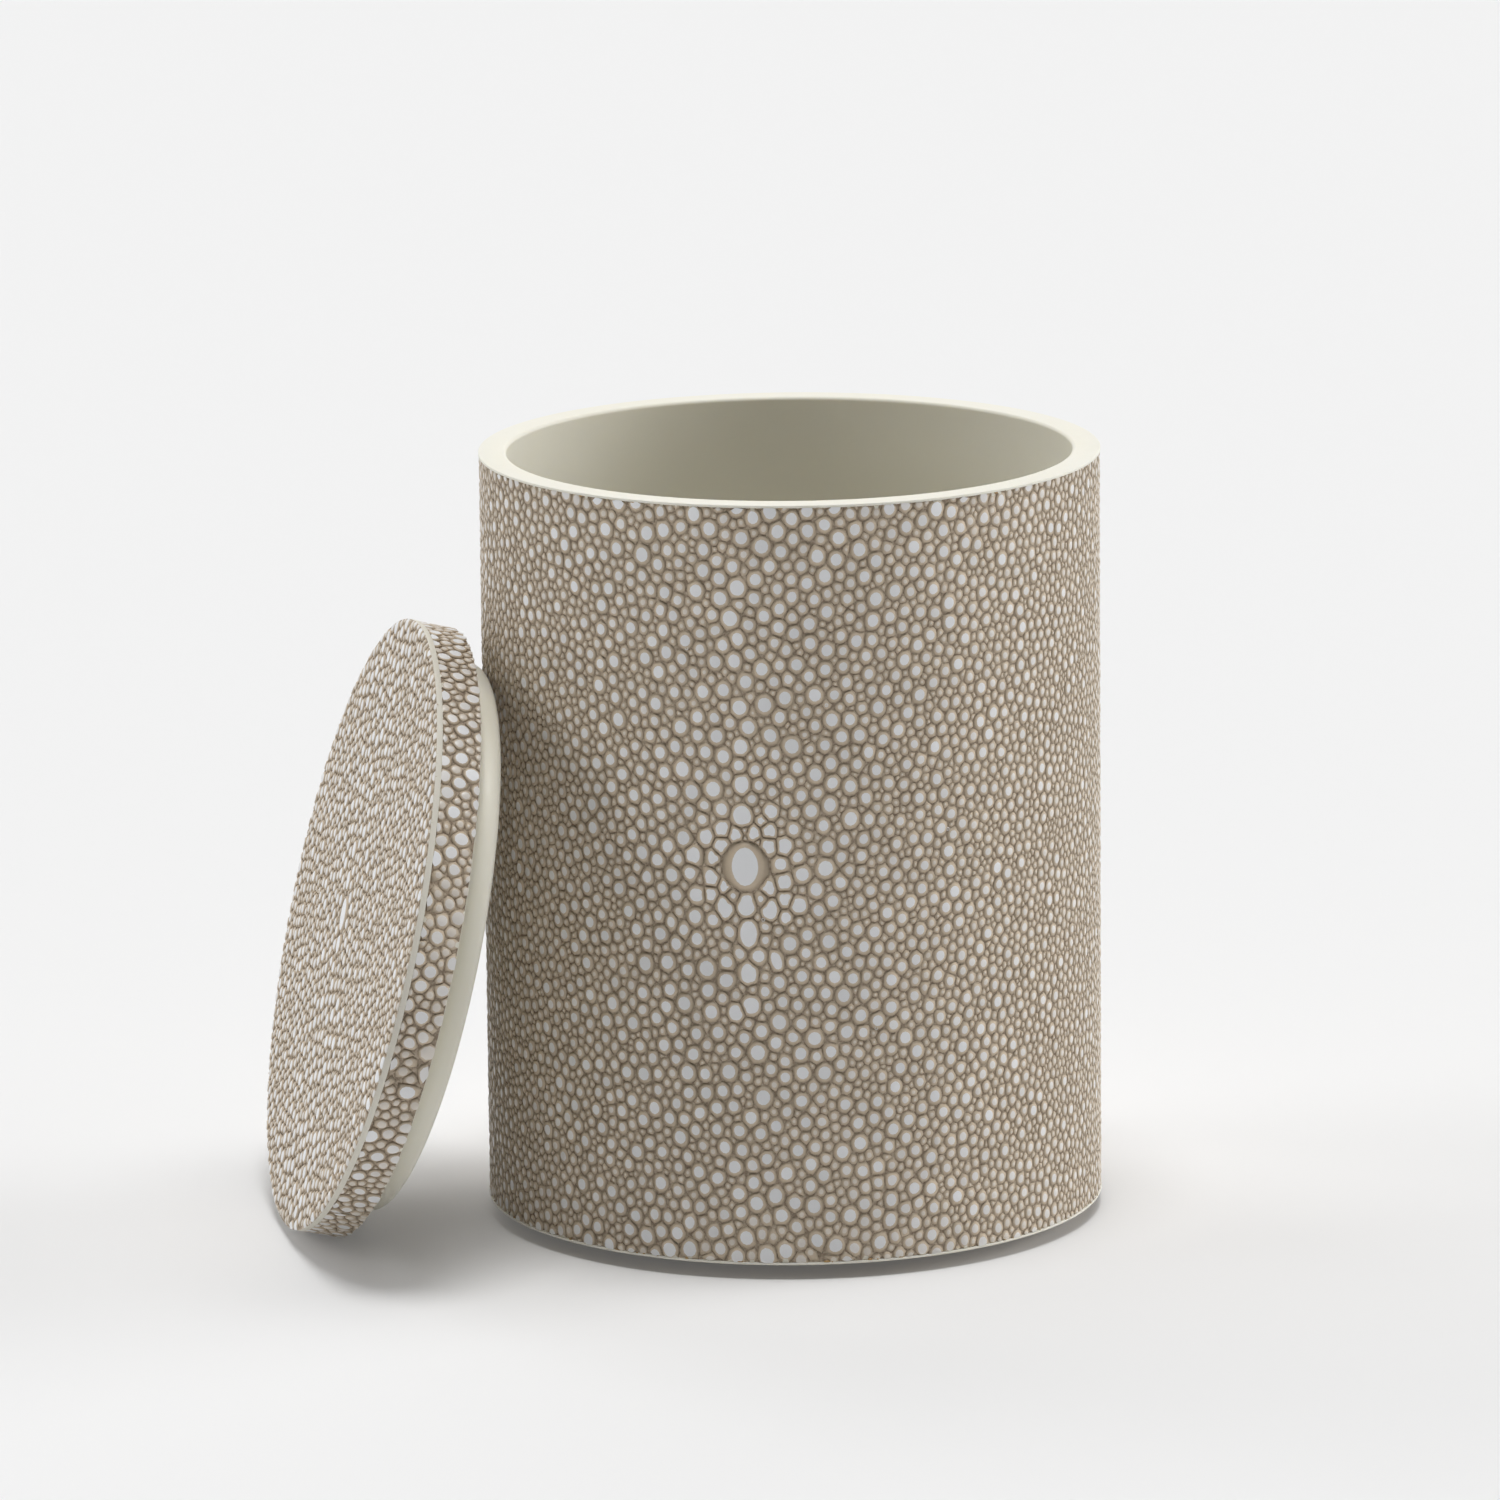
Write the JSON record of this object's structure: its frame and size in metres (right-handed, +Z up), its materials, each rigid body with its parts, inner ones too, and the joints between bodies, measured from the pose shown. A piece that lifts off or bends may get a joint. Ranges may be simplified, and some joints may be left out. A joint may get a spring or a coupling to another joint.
{
  "type": "canister",
  "caption": "Round canister clad in pebbled shagreen-like sheet, cream inside, with a loose plug-fit lid leaning on its side.",
  "frame": {"origin": "on the canister's axis, at the surface that it stands on", "axes": "+Z up along the canister's axis, towards the mouth; -X towards the leaning lid"},
  "size_m": [0.1378, 0.102, 0.1274],
  "materials": {
    "cream_resin": "satin cast resin, cream",
    "pebbled_sheet": "shagreen-like sheet: polished off-white pebbles in a matt taupe ground",
    "felt": "pressed wool felt"
  },
  "bodies": {
    "canister": {"base_plate": "cream_resin", "foot_pad": "felt", "body_wall": "cream_resin", "body_skin": "pebbled_sheet"},
    "lid": {"lid_core": "cream_resin", "lid_plug": "cream_resin", "lid_edge_band": "pebbled_sheet", "lid_top_skin": "pebbled_sheet"}
  },
  "joints": [
    {"name": "lid_lift", "type": "slide", "parent": "canister", "child": "lid", "axis": [0, 0, 1], "range_m": [0, 0.135]}
  ]
}
